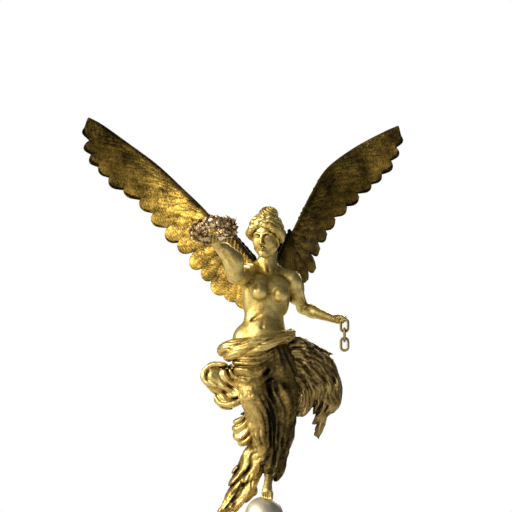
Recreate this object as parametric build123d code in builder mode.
from build123d import *
import os
from itertools import pairwise
from math import cos, radians, sin

# A gilt winged-victory car mascot on a nickel-plated radiator cap, in millimetres.
# Origin: centre of the cap's bottom rim, on the axis of its thread. +Z is up, and the
# figure faces -Y. Left and right are the figure's own, so her right side is towards -X.

# ---- Driving dimensions -----------------------------------------------------
FIT = 0.03  # clearance of a tenon in its socket, on the radius

# radiator cap
CAP_RADIUS = 27.0
CAP_GRIP_HEIGHT = 10.0
CAP_BOSS_RADIUS = 7.0
CAP_BOSS_HEIGHT = 1.6
CAP_TOP = 19.0
DOME_SHOULDER = (19.4, 14.8)  # radius and height of a point half-way up the dome
CEILING = 15.0
FLUTE_RADIUS = 1.5
FLUTE_CENTRES = 27.7  # radius of the circle the flutes are cut from
FLUTE_HEIGHT = 12.0
FLUTE_COUNT = 24
THREAD_RADIUS = 20.0
THREAD_LENGTH = 8.0
RING_RADIUS = 22.5
GASKET_THICKNESS = 1.5
GASKET_INNER = 15.0
GASKET_OUTER = 21.0
POCKET_RADIUS = 14.0

# fixing under the cap: an M6 stud, a fibre washer, a spring washer and a lock nut
STUD_RADIUS = 3.0
STUD_RUNNING = 0.05
STUD_END = 8.6
STUD_CHAMFER = 0.5
FIBRE_WASHER_RADIUS = 7.0
FIBRE_WASHER_HEIGHT = 1.0
SPRING_WASHER_RADIUS = 5.2
SPRING_WASHER_HEIGHT = 1.4
SPRING_WASHER_SPLIT = 0.8
NUT_ACROSS_FLATS = 10.0
NUT_HEIGHT = 3.2

# globe under the toes
GLOBE_RADIUS = 8.6
GLOBE_CENTRE = 26.4
STUD_IN_GLOBE = 7.0
COLLAR_RADIUS = 7.6
COLLAR_HEIGHT = 2.4
COLLAR_CHAMFER = 0.6
PIN_RADIUS = 0.9
PIN_CENTRE = (1.4, -2.0)
PIN_BOTTOM = 30.0
PIN_TOP = 39.0

# figure: the shoulders and wings are turned about Z from the hips, as she reaches forward
SHOULDER_TURN = 15.0
HIP_TURN = 4.0
SHOULDER_AXIS_X = 2.0
WAIST_JOINT = 102.0
TENON_RADIUS = 2.0
SOCKET_SPARE = 0.2  # a socket is this much longer than its tenon
JOINT_SWELL = 1.02  # the ball at a limb's joint, against the limb's radius
NECK_JOINT = 140.0

# each section is (x, y, z, half width, half depth)
TORSO_SECTIONS = [
    (-0.8, 1.0, WAIST_JOINT, 13.6, 9.6),
    (-0.6, 0.3, 109.0, 12.6, 8.6),
    (-0.2, -0.4, 116.0, 10.8, 7.2),
    (0.4, -0.8, 123.0, 11.2, 7.6),
    (1.2, -0.6, 129.0, 12.0, 7.8),
    (1.8, 0.2, 134.0, 10.4, 6.2),
    (2.0, 0.2, 137.5, 6.2, 4.6),
    (1.8, -0.8, NECK_JOINT, 4.1, 3.9),
]
SKIRT_SECTIONS = [
    (-0.8, 1.0, WAIST_JOINT, 14.4, 10.4),
    (0.0, 0.4, 92.0, 14.2, 11.2),
    (3.0, -0.8, 78.0, 12.2, 10.8),
    (5.2, 0.0, 66.0, 10.2, 9.6),
    (5.0, 1.0, 56.0, 8.0, 8.0),
    (4.0, 2.4, 47.0, 5.6, 6.0),
]

# wing stations: leading edge, trailing edge and half thickness, in the shoulder frame
# (outwards, backwards, up), from the root to the tip
WING_STATIONS = [
    ((7.0, 9.6, 140.0), (9.0, 10.4, 121.0), 1.9),
    ((14.0, 17.0, 151.0), (19.0, 17.0, 126.0), 1.8),
    ((22.5, 25.0, 164.0), (28.0, 26.0, 138.0), 1.7),
    ((31.0, 36.0, 175.5), (37.0, 38.0, 154.0), 1.6),
    ((40.5, 46.0, 187.0), (48.0, 45.0, 169.0), 1.5),
    ((54.0, 48.0, 197.0), (62.0, 48.0, 180.0), 1.4),
    ((67.0, 43.0, 204.5), (72.0, 46.0, 191.0), 1.2),
    ((74.5, 41.0, 208.0), (77.0, 42.5, 201.2), 0.9),
]
WING_PAD = (6.6, 2.0, 131.0)
WING_PAD_RADIUS = 4.0
WING_PAD_BACK = 11.2
WING_SCREW_RADIUS = 1.25
WING_SCREW_TIP = 3.6
WING_SCREW_HEAD_RADIUS = 2.3
WING_SCREW_HEAD_BACK = 12.4
WING_SCREW_CLEAR = 20.0  # depth of the cuts that run out past the screw

# limbs are lists of (point, radius)
RIGHT_ARM = [
    ((-7.6, -3.4, 135.2), 4.3),
    ((-11.6, -13.0, 133.6), 3.6),
    ((-14.0, -21.0, 132.8), 3.3),
    ((-17.6, -25.6, 139.4), 2.9),
    ((-20.6, -28.8, 144.6), 2.0),
    ((-22.2, -30.6, 147.2), 3.1),
]
LEFT_ARM = [
    ((12.4, 3.0, 132.4), 4.1),
    ((15.4, 9.0, 126.2), 3.4),
    ((17.6, 14.4, 120.4), 3.1),
    ((24.6, 9.2, 117.2), 2.8),
    ((31.0, 4.6, 114.9), 1.9),
    ((35.4, 1.8, 114.8), 2.9),
]
STANDING_LEG = [
    ((1.2, -6.4, 34.3), 1.4),
    ((1.3, -3.2, 37.4), 2.3),
    ((2.0, 1.6, 43.8), 2.4),
    ((2.4, 3.2, 48.6), 2.3),
]
TRAILING_FOOT = [
    ((-11.0, 11.6, 45.6), 2.6),
    ((-12.4, 17.0, 42.4), 2.5),
    ((-13.6, 22.4, 37.8), 2.1),
    ((-14.0, 25.6, 34.6), 1.3),
]

# brazed tenons: (start, direction, length), from inside one casting out into its neighbour
LEG_TENON = ((2.4, 3.2, 48.6), (0.05, -0.25, 1), 8)
RIGHT_UPPER_TENON = ((-7.0, 1.4, 85.6), (-1, 0.05, 0.1), 7)
RIGHT_LOWER_TENON = ((-1.0, 2.2, 67.0), (-1, 0.05, -0.1), 7)
BILLOW_TENON = ((10.0, 4.0, 90.0), (1, 0.3, 0), 8)
TRAILING_TENON = ((0.0, 4.4, 61.4), (-0.6, 0.25, -0.75), 8)
TRAILING_FOOT_TENON = ((-11.0, 11.6, 45.6), (-0.1, -1, 0.3), 5)
NECK_TENON = ((1.8, -0.8, 141.0), (0, 0, -1), 6)
RIGHT_ARM_TENON = ((-8.4, -4.6, 135.2), (1, 0.5, -0.05), 6)
LEFT_ARM_TENON = ((13.0, 2.0, 132.2), (-1, -0.45, 0.05), 5)

# cloth that stands off the skirt: (x, y, z, half width, half depth) across its own run
RIGHT_UPPER_FLUTTER = [
    (-9.0, 1.0, 85.0, 11.0, 6.0),
    (-15.0, 1.6, 86.0, 9.4, 5.6),
    (-21.0, 2.4, 89.0, 7.4, 4.8),
    (-26.6, 3.0, 92.0, 4.0, 3.2),
]
RIGHT_LOWER_FLUTTER = [
    (-2.0, 2.0, 69.0, 9.0, 5.4),
    (-8.0, 2.4, 67.0, 8.6, 5.2),
    (-12.4, 3.0, 64.6, 6.8, 4.4),
    (-15.6, 3.4, 62.4, 4.0, 3.0),
]
LEFT_BILLOW = [
    (8.0, 3.0, 90.0, 15.0, 9.0),
    (16.0, 6.0, 90.0, 17.0, 9.6),
    (25.0, 9.0, 88.0, 15.6, 9.0),
    (32.0, 11.0, 84.0, 11.0, 7.0),
    (36.0, 12.0, 81.6, 6.0, 4.4),
]
TRAILING_DRAPERY = [
    (0.0, 4.0, 62.0, 7.0, 6.0),
    (-6.4, 6.6, 54.0, 6.8, 6.0),
    (-11.0, 8.6, 46.0, 6.4, 5.8),
    (-14.4, 8.6, 38.0, 5.4, 5.0),
    (-16.8, 7.4, 32.0, 4.6, 3.6),
    (-19.4, 6.0, 27.6, 3.0, 2.2),
]
BILLOW_TAIL = [(25.0, 10.0, 76.0, 4.6, 4.0), (24.6, 10.4, 67.0, 3.6, 2.8), (24.0, 10.6, 60.0, 0.9, 0.8)]

SASH_CENTRE = (-2.2, 0.6, 104.0)
SASH_HALF_WIDTH = 15.2
SASH_HALF_DEPTH = 10.6
SASH_THICKNESS = 3.0
SASH_TILT = 14.0
WAIST_BOSS_RADIUS = 6.0
WAIST_BOSS_DEPTH = 6.0

HEAD_SECTIONS = [
    (1.8, -0.8, NECK_JOINT, 4.1, 3.9),
    (1.6, -1.6, 143.2, 4.2, 4.6),
    (1.3, -2.8, 146.4, 5.2, 6.4),
    (1.1, -3.0, 150.0, 6.3, 7.8),
    (1.2, -2.6, 154.0, 7.6, 8.4),
    (1.6, -2.0, 158.0, 6.6, 7.2),
    (2.2, -1.6, 161.4, 4.0, 4.6),
]
HEAD_TURN = -8.0
KNOT_CENTRE = (2.8, -1.2, 161.8)
KNOT_RADIUS = 4.2

WREATH_CENTRE = (-22.5, -38.2, 151.9)
WREATH_RADIUS = 7.6
WREATH_THICKNESS = 2.0
WREATH_TILT = (-22.0, -8.0, 0.0)

# broken chain in the left hand: three links, each turned a quarter turn to the last
LINK_WIRE = 0.6
LINK_BEND = 1.6
LINK_STRAIGHT = 2.4
LINK_GAP = 0.15
CHAIN_X = 36.2
CHAIN_Y = 0.8
CHAIN_TOP = 114.6

os.makedirs("parts", exist_ok=True)
shoulder_frame = Plane(
    origin=(SHOULDER_AXIS_X, 0, 0),
    x_dir=(cos(radians(SHOULDER_TURN)), sin(radians(SHOULDER_TURN)), 0),
    z_dir=(0, 0, 1),
)


# ---- Shared shapes ----------------------------------------------------------
def ellipse_face(plane, half_width, half_depth):
    with BuildSketch(plane) as section:
        Ellipse(half_width, half_depth)
    return section.sketch.face()


def circle_face(plane, radius):
    with BuildSketch(plane) as section:
        Circle(radius)
    return section.sketch.face()


def body_loft(sections, bottom_turn, top_turn):
    """Upright loft through ellipses whose long axes turn evenly from bottom to top."""
    faces = []
    for i, (x, y, z, half_width, half_depth) in enumerate(sections):
        turn = radians(bottom_turn + (top_turn - bottom_turn) * i / (len(sections) - 1))
        plane = Plane((x, y, z), x_dir=(cos(turn), sin(turn), 0), z_dir=(0, 0, 1))
        faces.append(ellipse_face(plane, half_width, half_depth))
    loft(faces)


def cloth_loft(sections):
    """Loft through ellipses set square to the line that joins them, long axis in the XZ plane."""
    centres = [Vector(*section[:3]) for section in sections]
    faces = []
    for i, section in enumerate(sections):
        run = centres[min(i + 1, len(centres) - 1)] - centres[max(i - 1, 0)]
        long_axis = Vector(0, 1, 0).cross(run).normalized()
        faces.append(ellipse_face(Plane(section[:3], x_dir=long_axis, z_dir=run), *section[3:]))
    loft(faces)


def limb(stations):
    """Round tapered runs between the stations, with a ball at each one."""
    for (start, start_radius), (end, end_radius) in pairwise(stations):
        run = Vector(*end) - Vector(*start)
        near = circle_face(Plane(start, z_dir=run), start_radius)
        far = circle_face(Plane(end, z_dir=run), end_radius)
        loft([near, far])
    for centre, radius in stations:
        with Locations(centre):
            Sphere(radius * JOINT_SWELL)


def peg(centre, direction, length, radius=TENON_RADIUS, mode=Mode.ADD):
    """A round tenon, from centre along direction."""
    extrude(circle_face(Plane(centre, z_dir=direction), radius), amount=length, mode=mode)


def socket(centre, direction, length, radius=TENON_RADIUS):
    """The hole for a tenon, longer by the spare at both ends."""
    start = Vector(*centre) - Vector(*direction).normalized() * SOCKET_SPARE
    peg(start, direction, length + 2 * SOCKET_SPARE, radius + FIT, Mode.SUBTRACT)


def turned_with_shoulders(plane):
    return Plane(shoulder_frame.location * plane.location)


def wing_loft(side):
    """Lofts between the wing stations; side is 1 for her left wing and -1 for her right."""
    leading = [Vector(side * l, b, z) for (l, b, z), _, _ in WING_STATIONS]
    trailing = [Vector(side * l, b, z) for _, (l, b, z), _ in WING_STATIONS]
    middle = [(a + b) * 0.5 for a, b in zip(leading, trailing)]
    faces = []
    for i, (_, _, half_thickness) in enumerate(WING_STATIONS):
        chord = trailing[i] - leading[i]
        run = middle[min(i + 1, len(middle) - 1)] - middle[max(i - 1, 0)]
        across = run - chord * (run.dot(chord) / chord.dot(chord))
        plane = turned_with_shoulders(Plane(middle[i], x_dir=chord, z_dir=across))
        faces.append(ellipse_face(plane, chord.length / 2, half_thickness))
    for near, far in pairwise(faces):
        loft([near, far])


def wing_pad_plane(side, back):
    """Plane across a wing's pad, facing backwards, at a distance behind the shoulder axis."""
    centre = (side * WING_PAD[0], back, WING_PAD[2])
    return turned_with_shoulders(Plane(centre, x_dir=(1, 0, 0), z_dir=(0, 1, 0)))


def chain_link(plane):
    """A round-wire link, long way up, centred on the plane."""
    half = LINK_STRAIGHT / 2
    with BuildLine(plane) as path:
        right = Line((LINK_BEND, -half), (LINK_BEND, half))
        top = ThreePointArc(right @ 1, (0, half + LINK_BEND), (-LINK_BEND, half))
        left = Line(top @ 1, (-LINK_BEND, -half))
        ThreePointArc(left @ 1, (0, -half - LINK_BEND), right @ 0)
    section = circle_face(Plane(path.line @ 0, z_dir=path.line % 0), LINK_WIRE)
    sweep(section, path=path.line)


def finish(part, name):
    """Labels a piece and writes it as its node."""
    part.label = name
    export_step(part, f"parts/{name}.step")


# ---- Radiator cap, which screws onto the car's filler neck ----------------------
with BuildPart() as cap_shell:
    with BuildSketch(Plane.XZ):
        with BuildLine():
            rim = Polyline(
                (STUD_RADIUS + STUD_RUNNING, CAP_TOP),
                (STUD_RADIUS + STUD_RUNNING, CEILING),
                (POCKET_RADIUS, CEILING),
                (POCKET_RADIUS, THREAD_LENGTH + GASKET_THICKNESS),
                (GASKET_OUTER, THREAD_LENGTH + GASKET_THICKNESS),
                (GASKET_OUTER, THREAD_LENGTH),
                (RING_RADIUS, THREAD_LENGTH),
                (RING_RADIUS, 0),
                (CAP_RADIUS, 0),
                (CAP_RADIUS, CAP_GRIP_HEIGHT),
            )
            dome = ThreePointArc(
                rim @ 1,
                DOME_SHOULDER,
                (CAP_BOSS_RADIUS, CAP_TOP - CAP_BOSS_HEIGHT),
            )
            Polyline(dome @ 1, (CAP_BOSS_RADIUS, CAP_TOP), rim @ 0)
        make_face()
    revolve(axis=Axis.Z)
    with BuildSketch(Plane.XY):
        with PolarLocations(FLUTE_CENTRES, FLUTE_COUNT):
            Circle(FLUTE_RADIUS)
    extrude(amount=FLUTE_HEIGHT, mode=Mode.SUBTRACT)
finish(cap_shell.part, "cap_shell")

with BuildPart() as thread_ring:
    Cylinder(RING_RADIUS, THREAD_LENGTH, align=(Align.CENTER, Align.CENTER, Align.MIN))
    Cylinder(
        THREAD_RADIUS,
        THREAD_LENGTH,
        align=(Align.CENTER, Align.CENTER, Align.MIN),
        mode=Mode.SUBTRACT,
    )
finish(thread_ring.part, "thread_ring")

with BuildPart() as gasket:
    with BuildSketch(Plane.XY.offset(THREAD_LENGTH)):
        Circle(GASKET_OUTER)
        Circle(GASKET_INNER, mode=Mode.SUBTRACT)
    extrude(amount=GASKET_THICKNESS)
finish(gasket.part, "gasket")

# ---- Stud and its fixing, which let the figure be turned to face forward ---------
fibre_washer_bottom = CEILING - FIBRE_WASHER_HEIGHT
with BuildPart() as fibre_washer:
    with BuildSketch(Plane.XY.offset(fibre_washer_bottom)):
        Circle(FIBRE_WASHER_RADIUS)
        Circle(STUD_RADIUS + STUD_RUNNING, mode=Mode.SUBTRACT)
    extrude(amount=FIBRE_WASHER_HEIGHT)
finish(fibre_washer.part, "fibre_washer")

spring_washer_bottom = fibre_washer_bottom - SPRING_WASHER_HEIGHT
with BuildPart() as spring_washer:
    with BuildSketch(Plane.XY.offset(spring_washer_bottom)):
        Circle(SPRING_WASHER_RADIUS)
        Circle(STUD_RADIUS + FIT, mode=Mode.SUBTRACT)
        with Locations((SPRING_WASHER_RADIUS, 0)):
            Rectangle(SPRING_WASHER_RADIUS, SPRING_WASHER_SPLIT, mode=Mode.SUBTRACT)
    extrude(amount=SPRING_WASHER_HEIGHT)
finish(spring_washer.part, "spring_washer")

nut_bottom = spring_washer_bottom - NUT_HEIGHT
with BuildPart() as lock_nut:
    with BuildSketch(Plane.XY.offset(nut_bottom)):
        RegularPolygon(NUT_ACROSS_FLATS / 2, 6, major_radius=False)
        Circle(STUD_RADIUS, mode=Mode.SUBTRACT)
    extrude(amount=NUT_HEIGHT)
finish(lock_nut.part, "lock_nut")

with BuildPart() as mount_stud:
    with BuildSketch(Plane.XY.offset(STUD_END)):
        Circle(STUD_RADIUS)
    extrude(amount=CAP_TOP + STUD_IN_GLOBE - STUD_END)
    chamfer(mount_stud.faces().sort_by(Axis.Z)[0].edges(), STUD_CHAMFER)
finish(mount_stud.part, "mount_stud")

# ---- Globe, the collar that seats it and the pin that holds the toes -------------
with BuildPart() as foot_pin:
    with BuildSketch(Plane.XY.offset(PIN_BOTTOM)):
        with Locations(PIN_CENTRE):
            Circle(PIN_RADIUS)
    extrude(amount=PIN_TOP - PIN_BOTTOM)
finish(foot_pin.part, "foot_pin")

with BuildPart() as globe:
    with Locations((0, 0, GLOBE_CENTRE)):
        Sphere(GLOBE_RADIUS)
    split(bisect_by=Plane.XY.offset(CAP_TOP), keep=Keep.TOP)
    with BuildSketch(Plane.XY.offset(CAP_TOP)):
        Circle(STUD_RADIUS)
    extrude(amount=STUD_IN_GLOBE, mode=Mode.SUBTRACT)
    add(foot_pin.part, mode=Mode.SUBTRACT)
finish(globe.part, "globe")

with BuildPart() as collar:
    with BuildSketch(Plane.XY.offset(CAP_TOP)):
        Circle(COLLAR_RADIUS)
    extrude(amount=COLLAR_HEIGHT)
    chamfer(collar.faces().sort_by(Axis.Z)[-1].edges(), COLLAR_CHAMFER)
    with Locations((0, 0, GLOBE_CENTRE)):
        Sphere(GLOBE_RADIUS, mode=Mode.SUBTRACT)
finish(collar.part, "globe_collar")

# ---- Castings of the figure, in the round before they are coped to each other -----
with BuildPart() as skirt_form:
    body_loft(SKIRT_SECTIONS, HIP_TURN, HIP_TURN)

with BuildPart() as torso_form:
    body_loft(TORSO_SECTIONS, HIP_TURN, SHOULDER_TURN)

# ---- Standing leg, pinned to the globe ------------------------------------------
with BuildPart() as standing_leg:
    limb(STANDING_LEG)
    peg(*LEG_TENON)
    with Locations((0, 0, GLOBE_CENTRE)):
        Sphere(GLOBE_RADIUS, mode=Mode.SUBTRACT)
    add(foot_pin.part, mode=Mode.SUBTRACT)
finish(standing_leg.part, "standing_leg")

# ---- Cloth that flies from the skirt ---------------------------------------------
with BuildPart() as right_upper_flutter:
    cloth_loft(RIGHT_UPPER_FLUTTER)
    add(skirt_form.part, mode=Mode.SUBTRACT)
    peg(*RIGHT_UPPER_TENON)
finish(right_upper_flutter.part, "right_upper_flutter")

with BuildPart() as right_lower_flutter:
    cloth_loft(RIGHT_LOWER_FLUTTER)
    add([skirt_form.part, right_upper_flutter.part], mode=Mode.SUBTRACT)
    socket(*TRAILING_TENON)
    peg(*RIGHT_LOWER_TENON)
finish(right_lower_flutter.part, "right_lower_flutter")

with BuildPart() as trailing_foot:
    limb(TRAILING_FOOT)
    peg(*TRAILING_FOOT_TENON)
finish(trailing_foot.part, "trailing_foot")

with BuildPart() as trailing_drapery:
    cloth_loft(TRAILING_DRAPERY)
    add([skirt_form.part, standing_leg.part, right_lower_flutter.part], mode=Mode.SUBTRACT)
    add(trailing_foot.part, mode=Mode.SUBTRACT)
    with Locations((0, 0, GLOBE_CENTRE)):
        Sphere(GLOBE_RADIUS, mode=Mode.SUBTRACT)
    peg(*TRAILING_TENON)
finish(trailing_drapery.part, "trailing_drapery")

with BuildPart() as skirt:
    add(skirt_form.part)
    socket(SKIRT_SECTIONS[0][:3], (0, 0, -1), WAIST_BOSS_DEPTH, WAIST_BOSS_RADIUS)
    socket(*RIGHT_UPPER_TENON)
    socket(*RIGHT_LOWER_TENON)
    socket(*BILLOW_TENON)
    socket(*TRAILING_TENON)
    socket(*LEG_TENON)
    add(standing_leg.part, mode=Mode.SUBTRACT)
finish(skirt.part, "skirt")

# ---- Torso and the roll of cloth round the hips -----------------------------------
with BuildPart() as torso:
    add(torso_form.part)
    peg(TORSO_SECTIONS[0][:3], (0, 0, -1), WAIST_BOSS_DEPTH, WAIST_BOSS_RADIUS)
    socket(*NECK_TENON)
    socket(*RIGHT_ARM_TENON)
    socket(*LEFT_ARM_TENON)
    for side in (-1, 1):
        screw_plane = wing_pad_plane(side, WING_SCREW_TIP)
        extrude(circle_face(screw_plane, WING_SCREW_RADIUS), amount=WING_SCREW_CLEAR, mode=Mode.SUBTRACT)
finish(torso.part, "torso")

with BuildPart() as hip_sash:
    sash_tilt = radians(SASH_TILT)
    sash_plane = Plane(
        SASH_CENTRE,
        x_dir=(cos(sash_tilt), 0, sin(sash_tilt)),
        z_dir=(-sin(sash_tilt), 0, cos(sash_tilt)),
    )
    with BuildLine(sash_plane) as sash_path:
        EllipticalCenterArc((0, 0), SASH_HALF_WIDTH, SASH_HALF_DEPTH, start_angle=0, arc_size=360)
    with BuildSketch(Plane(sash_path.line @ 0, z_dir=sash_path.line % 0)):
        Circle(SASH_THICKNESS)
    sweep(path=sash_path.line)
    add([torso_form.part, skirt_form.part], mode=Mode.SUBTRACT)
finish(hip_sash.part, "hip_sash")

# ---- Cloth that billows from under the sash on her left ------------------------------
with BuildPart() as left_billow:
    cloth_loft(LEFT_BILLOW)
    cloth_loft(BILLOW_TAIL)
    add([skirt_form.part, torso_form.part, hip_sash.part], mode=Mode.SUBTRACT)
    peg(*BILLOW_TENON)
finish(left_billow.part, "left_billow")

# ---- Head, plugged into the neck of the torso --------------------------------------
with BuildPart() as head:
    body_loft(HEAD_SECTIONS, HEAD_TURN, HEAD_TURN)
    with Locations(KNOT_CENTRE):
        Sphere(KNOT_RADIUS)
    peg(*NECK_TENON)
finish(head.part, "head")

# ---- Wings, each screwed to a pad on the shoulder blade ------------------------------
def wing_screw(side):
    """A cheese-head screw along the pad's axis, its head seated at the pad's back."""
    shank = circle_face(wing_pad_plane(side, WING_SCREW_TIP), WING_SCREW_RADIUS)
    extrude(shank, amount=WING_PAD_BACK - WING_SCREW_TIP)
    screw_head = circle_face(wing_pad_plane(side, WING_PAD_BACK), WING_SCREW_HEAD_RADIUS)
    extrude(screw_head, amount=WING_SCREW_HEAD_BACK - WING_PAD_BACK)


with BuildPart() as right_wing_screw:
    wing_screw(-1)
finish(right_wing_screw.part, "right_wing_screw")

with BuildPart() as left_wing_screw:
    wing_screw(1)
finish(left_wing_screw.part, "left_wing_screw")


def wing(side):
    """A wing with its pad coped to the torso, the screw's hole and the seat for its head."""
    wing_loft(side)
    pad = circle_face(wing_pad_plane(side, WING_PAD[1]), WING_PAD_RADIUS)
    extrude(pad, amount=WING_PAD_BACK - WING_PAD[1])
    hole = circle_face(wing_pad_plane(side, WING_PAD[1]), WING_SCREW_RADIUS + FIT)
    extrude(hole, amount=WING_SCREW_CLEAR, mode=Mode.SUBTRACT)
    seat = circle_face(wing_pad_plane(side, WING_PAD_BACK), WING_SCREW_HEAD_RADIUS + FIT)
    extrude(seat, amount=WING_SCREW_CLEAR, mode=Mode.SUBTRACT)
    add(torso_form.part, mode=Mode.SUBTRACT)


with BuildPart() as right_wing:
    wing(-1)
finish(right_wing.part, "right_wing")

with BuildPart() as left_wing:
    wing(1)
finish(left_wing.part, "left_wing")

# ---- Raised right arm and the laurel wreath it holds up ------------------------------
with BuildPart() as wreath:
    with Locations(Plane(WREATH_CENTRE).rotated(WREATH_TILT)):
        Torus(WREATH_RADIUS, WREATH_THICKNESS)
finish(wreath.part, "wreath")

with BuildPart() as right_arm:
    limb(RIGHT_ARM)
    add([torso_form.part, right_wing.part, wreath.part], mode=Mode.SUBTRACT)
    peg(*RIGHT_ARM_TENON)
finish(right_arm.part, "right_arm")

# ---- Broken chain: the top link is gripped in the left hand --------------------------
link_pitch = LINK_STRAIGHT + 2 * LINK_BEND - 2 * LINK_WIRE - LINK_GAP
top_link_centre = CHAIN_TOP - LINK_STRAIGHT / 2 - LINK_BEND

with BuildPart() as chain_top_link:
    centre = (CHAIN_X, CHAIN_Y, top_link_centre)
    chain_link(Plane(centre, x_dir=(1, 0, 0), z_dir=(0, -1, 0)))
finish(chain_top_link.part, "chain_top_link")

with BuildPart() as chain_middle_link:
    centre = (CHAIN_X, CHAIN_Y, top_link_centre - link_pitch)
    chain_link(Plane(centre, x_dir=(0, 1, 0), z_dir=(1, 0, 0)))
finish(chain_middle_link.part, "chain_middle_link")

with BuildPart() as chain_end_link:
    centre = (CHAIN_X, CHAIN_Y, top_link_centre - 2 * link_pitch)
    chain_link(Plane(centre, x_dir=(1, 0, 0), z_dir=(0, -1, 0)))
finish(chain_end_link.part, "chain_end_link")

with BuildPart() as left_arm:
    limb(LEFT_ARM)
    add([torso_form.part, left_wing.part, chain_top_link.part], mode=Mode.SUBTRACT)
    peg(*LEFT_ARM_TENON)
finish(left_arm.part, "left_arm")
